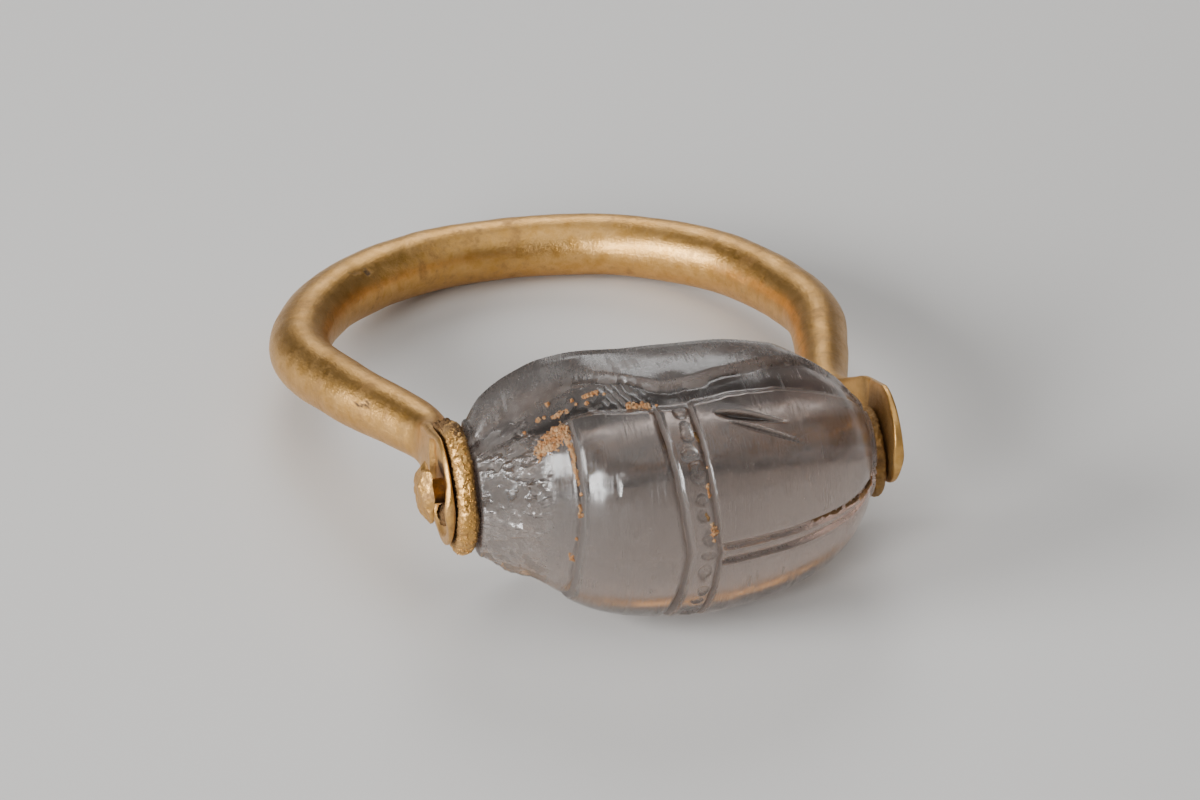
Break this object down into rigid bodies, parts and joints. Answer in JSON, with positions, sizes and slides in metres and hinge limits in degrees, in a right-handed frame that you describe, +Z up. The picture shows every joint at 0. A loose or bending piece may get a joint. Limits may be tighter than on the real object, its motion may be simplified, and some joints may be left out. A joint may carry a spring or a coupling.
{
  "type": "scarab swivel ring",
  "caption": "Gold finger ring whose flattened, pierced ends carry a drilled rock-crystal scarab that turns freely on a headed pin between washers.",
  "frame": {"origin": "middle of the footprint, on the table that the ring lies on", "axes": "+X along the swivel pin from the beetle's head to its tail, +Y from the scarab to the back of the hoop, +Z up from the table"},
  "size_m": [0.0244, 0.0328, 0.0103],
  "materials": {
    "gold": "hand-worked gold, satin, with brown patina in the hollows",
    "crystal": "clear, faintly smoky rock crystal, polished and finely scratched",
    "earth": "dry tan earth left in the carving"
  },
  "bodies": {
    "ring": {"hoop": "gold", "head_collar": "gold", "tail_collar": "gold", "pivot_pin": "gold"},
    "stone": {"scarab": "crystal"}
  },
  "joints": [
    {"name": "swivel", "type": "hinge", "parent": "ring", "child": "stone", "pos_m": [0.0012, -0.01014, 0.00516], "axis": [1, 0, 0], "continuous": true}
  ]
}
